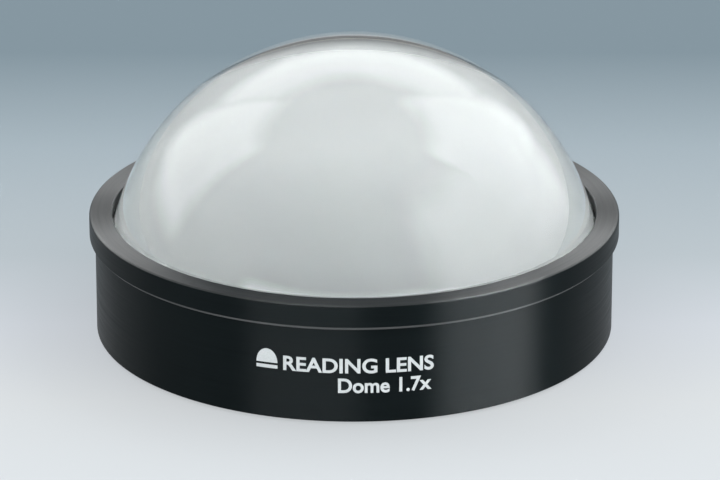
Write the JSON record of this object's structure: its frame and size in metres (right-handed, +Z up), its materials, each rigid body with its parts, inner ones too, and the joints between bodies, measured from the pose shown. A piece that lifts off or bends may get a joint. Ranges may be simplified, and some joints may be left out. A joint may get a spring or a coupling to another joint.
{
  "type": "dome magnifier",
  "caption": "Clear dome lens in a black turned metal ring that screws down on a felt-footed base ring; it stands flat on the page being read.",
  "frame": {"origin": "middle of the underside, on the surface that the felt stands on", "axes": "+Z up along the lens's optical axis, -Y towards the printed front"},
  "size_m": [0.069, 0.069, 0.0388],
  "materials": {
    "felt": "black wool felt",
    "adhesive_film": "clear pressure-sensitive film",
    "plain_aluminium": "bare, satin turned",
    "natural_plastic": "natural",
    "optical_glass": "polished dome and flat; the side band held in the ring is fine-ground",
    "white_plastic": "matt white film",
    "black_rubber": "matt",
    "black_anodised_aluminium": "fine circumferential turning marks, satin black anodised",
    "white_ink": "pad-printed ink"
  },
  "bodies": {
    "base": {"felt_ring": "felt", "felt_adhesive_film": "adhesive_film", "base_ring": "plain_aluminium", "slip_washer": "natural_plastic", "dome_lens": "optical_glass"},
    "cushion": {"cushion_ring": "black_rubber"},
    "mount": {"mount_ring": "black_anodised_aluminium", "liner_sleeve": "white_plastic"}
  },
  "joints": [
    {"name": "mount_rise", "type": "slide", "parent": "base", "child": "cushion", "axis": [0, 0, 1], "range_m": [0, 0.00181]},
    {"name": "mount_turn", "type": "hinge", "parent": "cushion", "child": "mount", "pos_m": [0, 0, 0], "axis": [0, 0, 1], "range_deg": [0, 1080]}
  ],
  "couplings": [
    {"joint": "mount_rise", "follows": "mount_turn", "m_per_rad": 0.000095493}
  ]
}
